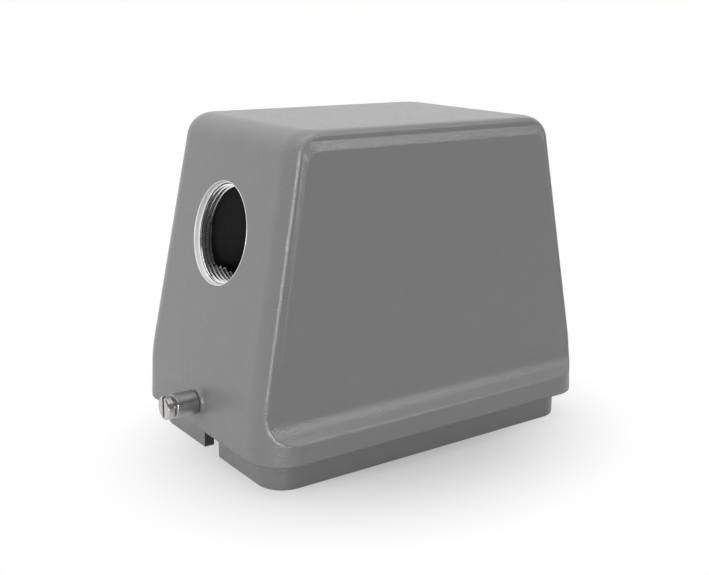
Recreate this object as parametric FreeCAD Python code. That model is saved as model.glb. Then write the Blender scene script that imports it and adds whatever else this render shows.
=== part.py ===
"""Heavy duty rectangular connector: cable hood with two contact inserts side by side.

Sizes are in millimetres. X runs along the hood with the cable entry at the -X end, Z is up.
The origin is the centre of the collar's lower rim, the plane on which the hood stands.
"""
import FreeCAD
import Part

import math
import os

# Hood casting, outside
HOOD_HEIGHT = 107.3
BODY_LENGTH = 132.0
BODY_WIDTH = 87.6
BODY_CORNER_RADIUS = 12.0
FOOT_DRAFT = 1.47
END_KINK_HEIGHT = 26.4
END_SLOPE = 10.83
END_BEND_RADIUS = 60.0
SIDE_SLOPE = 2.56
CROWN_RADIUS = 8.5

# Collar that plugs into the mating housing, below the body's shoulder
SHOULDER_LENGTH = 4.8
SHOULDER_WIDTH = 5.25
COLLAR_HEIGHT = 9.93
COLLAR_CORNER_RADIUS = 9.0
COLLAR_EDGE_RADIUS = 0.6
COLLAR_WALL = 3.4
NOTCH_WIDTH = 9.6
NOTCH_CORNER_RADIUS = 1.0

# Recessed long sides, from the band round the foot up to the crown
RECESS_DEPTH = 4.9
BAND_TOP_HEIGHT = 16.64
FLARE_START_HEIGHT = 25.0
RECESS_EDGE_RADIUS = 1.8

# Raised panel on each recessed side, which fades out towards the foot
PANEL_INSET = 2.4
PANEL_TOP_INSET = 3.0
PANEL_PROUD = 1.0
PANEL_FADE_HEIGHT = 34.0
PANEL_SIDE_BEVEL = 1.5
PANEL_TOP_BEVEL = 2.9
PANEL_CORNER_RADIUS = 4.5

# Hood casting, inside
SIDE_WALL = 3.2
END_WALL = 4.4
ROOF = 4.5
CAVITY_CORNER_RADIUS = 6.0

# Cable entry with an M32 x 1.5 thread, square to the sloping end face
ENTRY_HEIGHT = 72.9
ENTRY_THREAD_RADIUS = 16.0
ENTRY_LEAD_RADIUS = 16.4
ENTRY_LEAD_DEPTH = 1.9
ENTRY_LENGTH = 6.0
ENTRY_BOSS_WALL = 4.6
ENTRY_RUNOUT_REACH = 14.0
ENTRY_RUNOUT_RELIEF = 0.3

# Locking pegs, one in the middle of each end wall
PEG_HEIGHT = 19.1
PEG_BOSS_RADIUS = 4.2
PEG_BOSS_PROUD = 1.05
PEG_BOSS_FILLET = 1.3
PEG_SHANK_RADIUS = 2.5
PEG_THREAD_LENGTH = 7.2
PEG_HEAD_RADIUS = 3.8
PEG_HEAD_LENGTH = 2.05
PEG_HEAD_BEVEL = 0.3
PEG_SHANK_BEVEL = 0.5
PEG_SLOT_WIDTH = 1.2
PEG_SLOT_DEPTH = 1.2
ROLLER_RADIUS = 3.95
ROLLER_LENGTH = 7.85
ROLLER_CLEARANCE = 0.05
ROLLER_INNER_GAP = 0.25
ROLLER_OUTER_GAP = 0.9
ROLLER_BEVEL = 0.45

# Contact inserts, which fill the collar side by side
INSERT_END_GAP = 2.3
INSERT_SIDE_GAP = 0.95
INSERT_MIDDLE_GAP = 0.4
INSERT_CORNER_RADIUS = 2.5
SEAT_HEIGHT = 31.0
FLANGE_THICKNESS = 5.0
FACE_HEIGHT = 11.5
FACE_END_STEP = 10.5
FACE_SIDE_STEP = 4.0
TERMINAL_END_STEP = 11.5
TERMINAL_SIDE_STEP = 1.5
TERMINAL_BLOCK_HEIGHT = 12.5

# Contacts and their chambers
POLES_PER_ROW = 5
POLE_PITCH = 16.0
ROW_SPACING = 15.0
SOCKET_RADIUS = 2.9
SOCKET_BORE_RADIUS = 1.3
SOCKET_BORE_DEPTH = 12.0
SOCKET_RECESS = 1.0
HEAD_WIDTH = 8.6
HEAD_HEIGHT = 9.0
CHAMBER_CLEARANCE = 0.15
WIRE_POCKET = 4.0
WIRE_POCKET_DEPTH = 7.5
SCREW_SHANK_RADIUS = 1.7
SCREW_HEAD_RADIUS = 2.7
SCREW_HEAD_LENGTH = 1.6
SCREW_SLOT_WIDTH = 0.8
SCREW_SLOT_DEPTH = 0.8
SCREW_WINDOW_WIDTH = 6.4

# Earth plates and their terminal screws
PLATE_THICKNESS = 1.2
PLATE_LENGTH = 9.6
PLATE_OVERHANG = 0.6
PLATE_CORNER_RADIUS = 3.5
EARTH_BLOCK = 9.0
EARTH_BLOCK_HEIGHT = 8.0
EARTH_WIRE_RADIUS = 2.1
EARTH_SCREW_RADIUS = 2.0
EARTH_HEAD_RADIUS = 3.4
EARTH_HEAD_LENGTH = 2.2
EARTH_GRIP = 4.0

# Captive fixing screws and the posts that they screw into
FIXING_EDGE = 3.5
FIXING_RADIUS = 2.0
FIXING_HEAD_RADIUS = 3.5
FIXING_HEAD_LENGTH = 2.6
FIXING_REACH = 9.0
FIXING_SLOT_WIDTH = 1.0
FIXING_SLOT_DEPTH = 1.2
FIXING_HOLE_CLEARANCE = 0.2
POST_RADIUS = 4.5
POST_HOLE_DEPTH = 11.0
POST_BLOCK_NOSE = 3.7
POST_BLOCK_MARGIN = 6.1
POST_BLOCK_RADIUS = 3.9
POST_BLOCK_RISE = 4.0
THREAD_CLEARANCE = 0.02

# Placing values that follow from the sizes above
LEFT = -1
RIGHT = 1
FRONT = -1
REAR = 1
PAST = 5.0
TOUCH = 0.01
ALIGNED = 0.002
QUARTER_WIDTH = BODY_WIDTH / 4
KINK_RISE = END_KINK_HEIGHT - COLLAR_HEIGHT
KINK_LENGTH = BODY_LENGTH - 2 * KINK_RISE * math.tan(math.radians(FOOT_DRAFT))
PANEL_TOP_HEIGHT = HOOD_HEIGHT - PANEL_TOP_INSET
COLLAR_LENGTH = BODY_LENGTH - 2 * SHOULDER_LENGTH
COLLAR_WIDTH = BODY_WIDTH - 2 * SHOULDER_WIDTH
CAVITY_LENGTH = COLLAR_LENGTH - 2 * COLLAR_WALL
CAVITY_WIDTH = COLLAR_WIDTH - 2 * COLLAR_WALL
INSERT_LENGTH = CAVITY_LENGTH - 2 * INSERT_END_GAP
INSERT_WIDTH = (CAVITY_WIDTH - 2 * INSERT_SIDE_GAP - INSERT_MIDDLE_GAP) / 2
INSERT_PITCH = INSERT_WIDTH + INSERT_MIDDLE_GAP
FACE_BLOCK_LENGTH = INSERT_LENGTH - 2 * FACE_END_STEP
FACE_BLOCK_WIDTH = INSERT_WIDTH - 2 * FACE_SIDE_STEP
TERMINAL_BLOCK_LENGTH = INSERT_LENGTH - 2 * TERMINAL_END_STEP
TERMINAL_BLOCK_WIDTH = INSERT_WIDTH - 2 * TERMINAL_SIDE_STEP
FIXING_SPACING_X = INSERT_LENGTH - 2 * FIXING_EDGE
FIXING_SPACING_Y = INSERT_WIDTH - 2 * FIXING_EDGE
FLANGE_TOP = SEAT_HEIGHT - PLATE_THICKNESS
FLANGE_BOTTOM = FLANGE_TOP - FLANGE_THICKNESS


def vec(x, y, z):
    """Return a point or direction."""
    return FreeCAD.Vector(x, y, z)


def box(x_pair, y_pair, z_pair):
    """Return a box between two values on each axis, given in either order."""
    low = [min(pair) for pair in (x_pair, y_pair, z_pair)]
    span = [abs(pair[1] - pair[0]) for pair in (x_pair, y_pair, z_pair)]
    return Part.makeBox(span[0], span[1], span[2], vec(*low))


def rod(radius, start, end):
    """Return a cylinder of one radius from a start point to an end point."""
    run = end - start
    return Part.makeCylinder(radius, run.Length, start, run)


def turned(profile, base, direction):
    """Return a solid of revolution from (distance along, radius) pairs about an axis."""
    points = [vec(along, radius, 0) for along, radius in profile]
    face = Part.Face(Part.makePolygon(points + points[:1]))
    solid = face.revolve(vec(0, 0, 0), vec(1, 0, 0), 360)
    turn = FreeCAD.Rotation(vec(1, 0, 0), direction)
    solid.Placement = FreeCAD.Placement(base, turn)
    return solid


def rounded_outline(length, width, radius, height):
    """Return a rectangle with rounded corners, centred on the Z axis, as a level wire."""
    x = length / 2
    y = width / 2
    bend = radius * (1 - math.sqrt(0.5))
    edges = []
    corners = [(x, y, 1, 1), (-x, y, -1, 1), (-x, -y, -1, -1), (x, -y, 1, -1)]
    for index, (cx, cy, sx, sy) in enumerate(corners):
        on_side = vec(cx, cy - sy * radius, height)
        on_end = vec(cx - sx * radius, cy, height)
        first, last = (on_side, on_end) if index % 2 == 0 else (on_end, on_side)
        middle = vec(cx - sx * bend, cy - sy * bend, height)
        if edges:
            edges.append(Part.LineSegment(edges[-1].Vertexes[-1].Point, first).toShape())
        edges.append(Part.Arc(first, middle, last).toShape())
    edges.append(Part.LineSegment(edges[-1].Vertexes[-1].Point, edges[0].Vertexes[0].Point).toShape())
    return Part.Wire(edges)


def loft(wires):
    """Return the solid with straight walls through a row of wires."""
    return Part.makeLoft(wires, True, True)


def extrude_along_x(edges, start, end):
    """Return a closed outline drawn at X = 0 as a solid from start to end."""
    face = Part.Face(Part.Wire(edges))
    face.translate(vec(start, 0, 0))
    return face.extrude(vec(end - start, 0, 0))


def line(start, end):
    """Return a straight edge."""
    return Part.LineSegment(start, end).toShape()


def mirrored(shape, normal):
    """Return the mirror image of a shape in the plane through the origin."""
    return shape.mirror(vec(0, 0, 0), normal)


def end_face(height):
    """Return the hood's half length at a height above the kink."""
    return KINK_LENGTH / 2 - (height - END_KINK_HEIGHT) * math.tan(math.radians(END_SLOPE))


def side_wall(height):
    """Return the half width to the recessed side wall at a height."""
    return foot_side(height) - RECESS_DEPTH


def foot_side(height):
    """Return the half width of the body at a height, before it is recessed."""
    return BODY_WIDTH / 2 - (height - COLLAR_HEIGHT) * math.tan(math.radians(SIDE_SLOPE))


def foot_end(height):
    """Return the half length of the foot at a height below the kink."""
    return BODY_LENGTH / 2 - (height - COLLAR_HEIGHT) * math.tan(math.radians(FOOT_DRAFT))


def recess_edge(height):
    """Return the half length of the recessed wall, where it runs out at the rounded corner."""
    reach = BODY_CORNER_RADIUS - RECESS_DEPTH
    return end_face(height) - BODY_CORNER_RADIUS + math.sqrt(BODY_CORNER_RADIUS ** 2 - reach ** 2)


def end_outline(side):
    """Return the edges of one end of the body's long section, from the foot up to the roof."""
    kink = vec(side * KINK_LENGTH / 2, 0, END_KINK_HEIGHT)
    foot = vec(side * BODY_LENGTH / 2, 0, COLLAR_HEIGHT)
    top = vec(side * end_face(HOOD_HEIGHT), 0, HOOD_HEIGHT)
    turn = math.radians(END_SLOPE - FOOT_DRAFT)
    tangent = END_BEND_RADIUS * math.tan(turn / 2)
    low = kink + (foot - kink).normalize() * tangent
    high = kink + (top - kink).normalize() * tangent
    inward = ((low - kink) + (high - kink)).normalize()
    middle = kink + inward * (END_BEND_RADIUS / math.cos(turn / 2) - END_BEND_RADIUS)
    return [line(foot, low), Part.Arc(low, middle, high).toShape(), line(high, top)]


def make_body_blank():
    """Return the tapered body with its rounded crown, before the sides are recessed."""
    right = end_outline(RIGHT)
    left = end_outline(LEFT)
    ends = [edge.Vertexes[0].Point for edge in (right[0], left[0])]
    tops = [edge.Vertexes[-1].Point for edge in (right[-1], left[-1])]
    wire = Part.Wire(right + [line(tops[0], tops[1])] + left[::-1] + [line(ends[1], ends[0])])
    long_form = Part.Face(wire)
    long_form.translate(vec(0, -BODY_WIDTH / 2 - PAST, 0))
    long_form = long_form.extrude(vec(0, BODY_WIDTH + 2 * PAST, 0))
    low = BODY_WIDTH / 2
    high = side_wall(HOOD_HEIGHT) + RECESS_DEPTH
    points = [vec(0, -low, COLLAR_HEIGHT), vec(0, low, COLLAR_HEIGHT),
              vec(0, high, HOOD_HEIGHT), vec(0, -high, HOOD_HEIGHT)]
    cross = [line(points[i - 1], points[i]) for i in range(4)]
    cross_form = extrude_along_x(cross, -BODY_LENGTH / 2 - PAST, BODY_LENGTH / 2 + PAST)
    blank = long_form.common(cross_form)
    corners = [edge for edge in blank.Edges if is_upright_corner(edge)]
    blank = blank.makeFillet(BODY_CORNER_RADIUS, corners)
    crown = [edge for edge in blank.Edges if edge.BoundBox.ZMin > HOOD_HEIGHT - TOUCH]
    return blank.makeFillet(CROWN_RADIUS, crown)


def is_upright_corner(edge):
    """Tell whether an edge of the blank runs up one of its four corners."""
    bounds = edge.BoundBox
    return bounds.ZLength > bounds.XLength and abs(bounds.Center.y) > QUARTER_WIDTH and \
        bounds.YLength < QUARTER_WIDTH


def make_recess_cutter():
    """Return what is taken off the +Y side: a flat wall that flares out to the band."""
    slope = math.radians(SIDE_SLOPE)
    above = HOOD_HEIGHT + PAST
    beyond = BODY_WIDTH / 2 + PAST
    start = vec(0, side_wall(FLARE_START_HEIGHT), FLARE_START_HEIGHT)
    rim = vec(0, foot_side(BAND_TOP_HEIGHT), BAND_TOP_HEIGHT)
    outward = vec(0, math.cos(slope), math.sin(slope))
    chord = rim - start
    radius = chord.Length ** 2 / (2 * outward.dot(chord))
    centre = start + outward * radius
    half_way = (rim - centre) * (1 / radius) - outward
    middle = centre + half_way * (radius / half_way.Length)
    wall_top = vec(0, side_wall(above), above)
    edges = [
        line(wall_top, start),
        Part.Arc(start, middle, rim).toShape(),
        line(rim, vec(0, beyond, BAND_TOP_HEIGHT)),
        line(vec(0, beyond, BAND_TOP_HEIGHT), vec(0, beyond, above)),
        line(vec(0, beyond, above), wall_top),
    ]
    return extrude_along_x(edges, -BODY_LENGTH / 2 - PAST, BODY_LENGTH / 2 + PAST)


def faces_of_recess(body, side):
    """Return the flat wall and the flare of the recess on one long side."""
    slope = math.radians(SIDE_SLOPE)
    normal = vec(0, side * math.cos(slope), math.sin(slope))
    found = []
    for face in body.Faces:
        centre = face.CenterOfMass
        if centre.y * side < QUARTER_WIDTH or centre.z < BAND_TOP_HEIGHT:
            continue
        u0, u1, v0, v1 = face.ParameterRange
        facing = face.normalAt((u0 + u1) / 2, (v0 + v1) / 2)
        is_wall = facing.getAngle(normal) < ALIGNED
        curved = isinstance(face.Surface, Part.Cylinder)
        is_flare = curved and is_level_along_x(face.Surface.Axis) and centre.z < FLARE_START_HEIGHT
        if is_wall or is_flare:
            found.append(face)
    return found


def is_level_along_x(direction):
    """Tell whether a direction runs along the hood, either way."""
    return 1 - abs(direction.x) < ALIGNED


def outline_of(faces):
    """Return the edges that lie on the border of a group of faces that touch."""
    edges = [edge for face in faces for edge in face.Edges]
    return [edge for edge in edges if sum(edge.isSame(other) for other in edges) == 1]


def panel_wire(inset, top, lift):
    """Return the raised panel's outline on the +Y side, on a plane lifted off the wall."""
    low = PANEL_FADE_HEIGHT - PAST
    run = PANEL_TOP_HEIGHT - PANEL_FADE_HEIGHT

    def place(x, z):
        """Return the point of the lifted plane over a place on the wall."""
        return vec(x, side_wall(z) + lift * (z - PANEL_FADE_HEIGHT) / run, z)

    slope = math.radians(END_SLOPE)
    turn = math.radians(90) - slope
    tangent = PANEL_CORNER_RADIUS * math.tan(turn / 2)
    corner = recess_edge(top) - inset
    on_side = (corner + tangent * math.sin(slope), top - tangent * math.cos(slope))
    centre = (corner - tangent, top - PANEL_CORNER_RADIUS)
    half = slope + turn / 2
    middle = (centre[0] + PANEL_CORNER_RADIUS * math.cos(half),
              centre[1] + PANEL_CORNER_RADIUS * math.sin(half))
    foot = (recess_edge(low) - inset, low)
    right = [foot, on_side, middle, (corner - tangent, top)]
    r = [place(x, z) for x, z in right]
    m = [place(-x, z) for x, z in right]
    return Part.Wire([
        line(m[0], r[0]),
        line(r[0], r[1]),
        Part.Arc(r[1], r[2], r[3]).toShape(),
        line(r[3], m[3]),
        Part.Arc(m[3], m[2], m[1]).toShape(),
        line(m[1], m[0]),
    ])


def make_panel():
    """Return the raised panel of the +Y side, with bevelled edges that reach into the wall."""
    inner = panel_wire(PANEL_INSET, PANEL_TOP_HEIGHT, 0)
    crest = panel_wire(PANEL_INSET + PANEL_SIDE_BEVEL, PANEL_TOP_HEIGHT - PANEL_TOP_BEVEL, PANEL_PROUD)
    root = inner.copy()
    root.translate(vec(0, -SIDE_WALL / 2, 0))
    return loft([root, inner]).fuse(loft([inner, crest]))


def make_collar():
    """Return the collar as a solid block with a rounded lower rim, which reaches into the body."""
    wire = rounded_outline(COLLAR_LENGTH, COLLAR_WIDTH, COLLAR_CORNER_RADIUS, 0)
    block = Part.Face(wire).extrude(vec(0, 0, COLLAR_HEIGHT + PAST))
    rim = [edge for edge in block.Edges if edge.BoundBox.ZMax < TOUCH]
    return block.makeFillet(COLLAR_EDGE_RADIUS, rim)


def make_notch():
    """Return what is taken off the collar in the middle of its -X end."""
    half = NOTCH_WIDTH / 2
    r = NOTCH_CORNER_RADIUS
    bend = r * (1 - math.sqrt(0.5))
    edges = [
        line(vec(0, -half, COLLAR_HEIGHT), vec(0, -half, r)),
        Part.Arc(vec(0, -half, r), vec(0, -half - bend, bend), vec(0, -half - r, 0)).toShape(),
        line(vec(0, -half - r, 0), vec(0, -half - r, -PAST)),
        line(vec(0, -half - r, -PAST), vec(0, half + r, -PAST)),
        line(vec(0, half + r, -PAST), vec(0, half + r, 0)),
        Part.Arc(vec(0, half + r, 0), vec(0, half + bend, bend), vec(0, half, r)).toShape(),
        line(vec(0, half, r), vec(0, half, COLLAR_HEIGHT)),
        line(vec(0, half, COLLAR_HEIGHT), vec(0, -half, COLLAR_HEIGHT)),
    ]
    outer = COLLAR_LENGTH / 2
    return extrude_along_x(edges, -outer - PAST, -outer + COLLAR_WALL + PAST)


def fixing_places():
    """Return the (x, y) of every fixing screw of both inserts."""
    places = []
    for row in (FRONT, REAR):
        for end in (LEFT, RIGHT):
            for side in (-1, 1):
                y = row * INSERT_PITCH / 2 + side * FIXING_SPACING_Y / 2
                places.append((end * FIXING_SPACING_X / 2, y))
    return places


def entry_frame():
    """Return the cable entry's centre on the end face and the direction that points out."""
    slope = math.radians(END_SLOPE)
    centre = vec(-end_face(ENTRY_HEIGHT), 0, ENTRY_HEIGHT)
    return centre, vec(-math.cos(slope), 0, math.sin(slope))


def post_block_top(end):
    """Return the height of the block at one end: the roof, or just over the entry's lowest point."""
    if end == RIGHT:
        return HOOD_HEIGHT - ROOF / 2
    return ENTRY_HEIGHT - ENTRY_THREAD_RADIUS + POST_BLOCK_RISE


def make_posts():
    """Return the posts inside the hood, from the inserts' seat up, with the middle ones in a block."""
    inner_y = INSERT_PITCH / 2 - FIXING_SPACING_Y / 2
    outer_y = INSERT_PITCH / 2 + FIXING_SPACING_Y / 2
    half = inner_y + POST_BLOCK_MARGIN
    nose = FIXING_SPACING_X / 2 - POST_BLOCK_NOSE
    wall = BODY_LENGTH / 2
    r = POST_BLOCK_RADIUS
    posts = []
    for end in (LEFT, RIGHT):
        top = post_block_top(end)
        for side in (-1, 1):
            y = side * outer_y
            x = end * FIXING_SPACING_X / 2
            posts.append(rod(POST_RADIUS, vec(x, y, SEAT_HEIGHT), vec(x, y, HOOD_HEIGHT - ROOF / 2)))
            corner = vec(end * (nose + r), side * (half - r), 0)
            posts.append(rod(r, corner + vec(0, 0, SEAT_HEIGHT), corner + vec(0, 0, top)))
        posts.append(box((end * nose, end * wall), (r - half, half - r), (SEAT_HEIGHT, top)))
        posts.append(box((end * (nose + r), end * wall), (-half, half), (SEAT_HEIGHT, top)))
    return posts


def make_cavity():
    """Return the hollow of the hood, around the posts and the cable entry's boss."""
    slope = math.tan(math.radians(END_SLOPE))
    meet = END_KINK_HEIGHT + (KINK_LENGTH / 2 - END_WALL - CAVITY_LENGTH / 2) / slope
    top = HOOD_HEIGHT - ROOF
    r = CAVITY_CORNER_RADIUS
    cavity = loft([
        rounded_outline(CAVITY_LENGTH, CAVITY_WIDTH, r, -PAST),
        rounded_outline(CAVITY_LENGTH, CAVITY_WIDTH, r, END_KINK_HEIGHT),
        rounded_outline(CAVITY_LENGTH, 2 * (side_wall(meet) - SIDE_WALL), r, meet),
        rounded_outline(2 * (end_face(top) - END_WALL), 2 * (side_wall(top) - SIDE_WALL), r, top),
    ])
    centre, outward = entry_frame()
    boss = rod(ENTRY_THREAD_RADIUS + ENTRY_BOSS_WALL, centre, centre - outward * ENTRY_LENGTH)
    return cavity.cut(make_posts() + [boss])


def make_peg_boss():
    """Return the cast boss round the -X peg, which flares out to the end wall."""
    face = foot_end(PEG_HEIGHT)
    r = PEG_BOSS_FILLET
    bend = r * (1 - math.sqrt(0.5))
    root = vec(0, PEG_BOSS_RADIUS + r, 0)
    rise = vec(PEG_BOSS_PROUD - r, 0, 0)
    edges = [
        line(vec(-PAST, 0, 0), vec(PEG_BOSS_PROUD, 0, 0)),
        line(vec(PEG_BOSS_PROUD, 0, 0), vec(PEG_BOSS_PROUD, PEG_BOSS_RADIUS, 0)),
        Part.Arc(vec(PEG_BOSS_PROUD, PEG_BOSS_RADIUS, 0),
                 vec(PEG_BOSS_PROUD - r + bend, PEG_BOSS_RADIUS + bend, 0),
                 root + rise).toShape(),
        line(root + rise, root - vec(PAST, 0, 0)),
        line(root - vec(PAST, 0, 0), vec(-PAST, 0, 0)),
    ]
    boss = Part.Face(Part.Wire(edges)).revolve(vec(0, 0, 0), vec(1, 0, 0), 360)
    boss.Placement = FreeCAD.Placement(vec(-face, 0, PEG_HEIGHT), FreeCAD.Rotation(vec(0, 0, 1), 180))
    return boss


def make_hood():
    """Return the hood casting."""
    body = make_body_blank()
    cutter = make_recess_cutter()
    body = body.cut([cutter, mirrored(cutter, vec(0, 1, 0))])
    outline = outline_of(faces_of_recess(body, REAR)) + outline_of(faces_of_recess(body, FRONT))
    body = body.makeFillet(RECESS_EDGE_RADIUS, outline)
    panel = make_panel()
    boss = make_peg_boss()
    body = body.fuse([panel, mirrored(panel, vec(0, 1, 0)), make_collar(),
                      boss, mirrored(boss, vec(1, 0, 0))]).removeSplitter()
    cuts = [make_cavity(), make_notch(), mirrored(make_notch(), vec(1, 0, 0))]
    centre, outward = entry_frame()
    back = centre - outward * ENTRY_LENGTH
    cuts.append(rod(ENTRY_THREAD_RADIUS, centre + outward * PAST, back))
    cuts.append(rod(ENTRY_THREAD_RADIUS + ENTRY_RUNOUT_RELIEF, back, centre - outward * ENTRY_RUNOUT_REACH))
    cuts.append(rod(ENTRY_LEAD_RADIUS, centre + outward * PAST,
                    centre - outward * ENTRY_LEAD_DEPTH))
    for x, y in fixing_places():
        cuts.append(rod(FIXING_RADIUS + THREAD_CLEARANCE, vec(x, y, SEAT_HEIGHT - PAST),
                        vec(x, y, SEAT_HEIGHT + POST_HOLE_DEPTH)))
    face = peg_seat()
    for end in (LEFT, RIGHT):
        cuts.append(rod(PEG_SHANK_RADIUS + THREAD_CLEARANCE, vec(end * (face + PAST), 0, PEG_HEIGHT),
                        vec(end * (face - PEG_THREAD_LENGTH), 0, PEG_HEIGHT)))
    return body.cut(cuts)


def peg_seat():
    """Return the distance from the middle of the hood to the face of a peg's boss."""
    return foot_end(PEG_HEIGHT) + PEG_BOSS_PROUD


def make_peg():
    """Return the -X locking peg: threaded shank, journal, and a bevelled head with a slot."""
    journal = ROLLER_INNER_GAP + ROLLER_LENGTH + ROLLER_OUTER_GAP
    tip = journal + PEG_HEAD_LENGTH
    bevel = PEG_HEAD_BEVEL
    peg = turned([
        (-PEG_THREAD_LENGTH, 0), (-PEG_THREAD_LENGTH, PEG_SHANK_RADIUS - PEG_SHANK_BEVEL),
        (-PEG_THREAD_LENGTH + PEG_SHANK_BEVEL, PEG_SHANK_RADIUS), (journal, PEG_SHANK_RADIUS),
        (journal, PEG_HEAD_RADIUS), (tip - bevel, PEG_HEAD_RADIUS),
        (tip, PEG_HEAD_RADIUS - bevel), (tip, 0),
    ], vec(-peg_seat(), 0, PEG_HEIGHT), vec(-1, 0, 0))
    end = -peg_seat() - tip
    slot = box((end - PAST, end + PEG_SLOT_DEPTH), (-PEG_SLOT_WIDTH / 2, PEG_SLOT_WIDTH / 2),
               (PEG_HEIGHT - PAST, PEG_HEIGHT + PAST))
    return peg.cut(slot)


def make_roller():
    """Return the sleeve that turns on the -X peg."""
    bore = PEG_SHANK_RADIUS + ROLLER_CLEARANCE
    start = ROLLER_INNER_GAP
    end = start + ROLLER_LENGTH
    return turned([
        (start, bore), (start, ROLLER_RADIUS - ROLLER_BEVEL / 2),
        (start + ROLLER_BEVEL / 2, ROLLER_RADIUS), (end - ROLLER_BEVEL, ROLLER_RADIUS),
        (end, ROLLER_RADIUS - ROLLER_BEVEL), (end, bore),
    ], vec(-peg_seat(), 0, PEG_HEIGHT), vec(-1, 0, 0))


def contact_places(side):
    """Return the X of every contact in a row and the row's Y in its insert."""
    span = POLE_PITCH * (POLES_PER_ROW - 1)
    return [(POLE_PITCH * i - span / 2, side * ROW_SPACING / 2) for i in range(POLES_PER_ROW)]


def screw_seat():
    """Return the height of the terminal screws' axes."""
    return FLANGE_TOP + HEAD_HEIGHT / 2


def make_insert():
    """Return the moulded body of an insert that is centred on the XZ plane."""
    flange_wire = rounded_outline(INSERT_LENGTH, INSERT_WIDTH, INSERT_CORNER_RADIUS, FLANGE_BOTTOM)
    flange = Part.Face(flange_wire).extrude(vec(0, 0, FLANGE_THICKNESS))
    face_wire = rounded_outline(FACE_BLOCK_LENGTH, FACE_BLOCK_WIDTH, INSERT_CORNER_RADIUS, FACE_HEIGHT)
    face_block = Part.Face(face_wire).extrude(vec(0, 0, FLANGE_BOTTOM - FACE_HEIGHT))
    half_x = TERMINAL_BLOCK_LENGTH / 2
    half_y = TERMINAL_BLOCK_WIDTH / 2
    top = FLANGE_TOP + TERMINAL_BLOCK_HEIGHT
    terminal_block = box((-half_x, half_x), (-half_y, half_y), (FLANGE_TOP, top))
    body = flange.fuse([face_block, terminal_block])
    cuts = []
    for side in (-1, 1):
        for x, y in contact_places(side):
            reach = HEAD_WIDTH / 2 + CHAMBER_CLEARANCE
            cuts.append(box((x - reach, x + reach), (y - reach, y + reach), (FLANGE_TOP, top + PAST)))
            slot = SCREW_WINDOW_WIDTH / 2
            low = screw_seat() - slot
            cuts.append(box((x - slot, x + slot), (y, side * (half_y + PAST)), (low, top + PAST)))
            cuts.append(rod(SOCKET_RADIUS + CHAMBER_CLEARANCE, vec(x, y, FACE_HEIGHT - PAST),
                            vec(x, y, FLANGE_TOP + PAST)))
    for end in (LEFT, RIGHT):
        for side in (-1, 1):
            x = end * FIXING_SPACING_X / 2
            y = side * FIXING_SPACING_Y / 2
            cuts.append(rod(FIXING_RADIUS + FIXING_HOLE_CLEARANCE, vec(x, y, FLANGE_BOTTOM - PAST),
                            vec(x, y, FLANGE_TOP + PAST)))
    return body.cut(cuts)


def make_contact(side):
    """Return one socket contact with its terminal head, at the origin of its row."""
    tip = FACE_HEIGHT + SOCKET_RECESS
    barrel = rod(SOCKET_RADIUS, vec(0, 0, tip), vec(0, 0, FLANGE_TOP))
    half = HEAD_WIDTH / 2
    head_top = FLANGE_TOP + HEAD_HEIGHT
    head = box((-half, half), (-half, half), (FLANGE_TOP, head_top))
    pocket = WIRE_POCKET / 2
    wire_room = box((-pocket, pocket), (-pocket, pocket), (head_top - WIRE_POCKET_DEPTH, head_top + PAST))
    bore = rod(SOCKET_BORE_RADIUS, vec(0, 0, tip - PAST), vec(0, 0, tip + SOCKET_BORE_DEPTH))
    screw_hole = rod(SCREW_SHANK_RADIUS + THREAD_CLEARANCE, vec(0, 0, screw_seat()),
                     vec(0, side * (half + PAST), screw_seat()))
    return barrel.fuse(head).cut([wire_room, bore, screw_hole])


def make_terminal_screw(side):
    """Return one terminal screw, which points into the contact at the origin of its row."""
    outward = vec(0, side, 0)
    seat = outward * (HEAD_WIDTH / 2) + vec(0, 0, screw_seat())
    shank = rod(SCREW_SHANK_RADIUS, outward * (WIRE_POCKET / 2) + vec(0, 0, screw_seat()), seat)
    crown = seat + outward * SCREW_HEAD_LENGTH
    head = rod(SCREW_HEAD_RADIUS, seat, crown)
    slot = SCREW_SLOT_WIDTH / 2
    cut = box((-SCREW_HEAD_RADIUS, SCREW_HEAD_RADIUS),
              (crown.y - side * SCREW_SLOT_DEPTH, crown.y + side * PAST),
              (screw_seat() - slot, screw_seat() + slot))
    return shank.fuse(head).cut(cut)


def in_row(shape, row, side):
    """Return copies of a contact's shape along one row of one insert."""
    copies = []
    for x, y in contact_places(side):
        copy = shape.copy()
        copy.translate(vec(x, row * INSERT_PITCH / 2 + y, 0))
        copies.append(copy)
    return Part.makeCompound(copies)


def plate_reach(end):
    """Return the X range of an earth plate."""
    outer = INSERT_LENGTH / 2 + PLATE_OVERHANG
    return end * (outer - PLATE_LENGTH), end * outer


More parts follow.
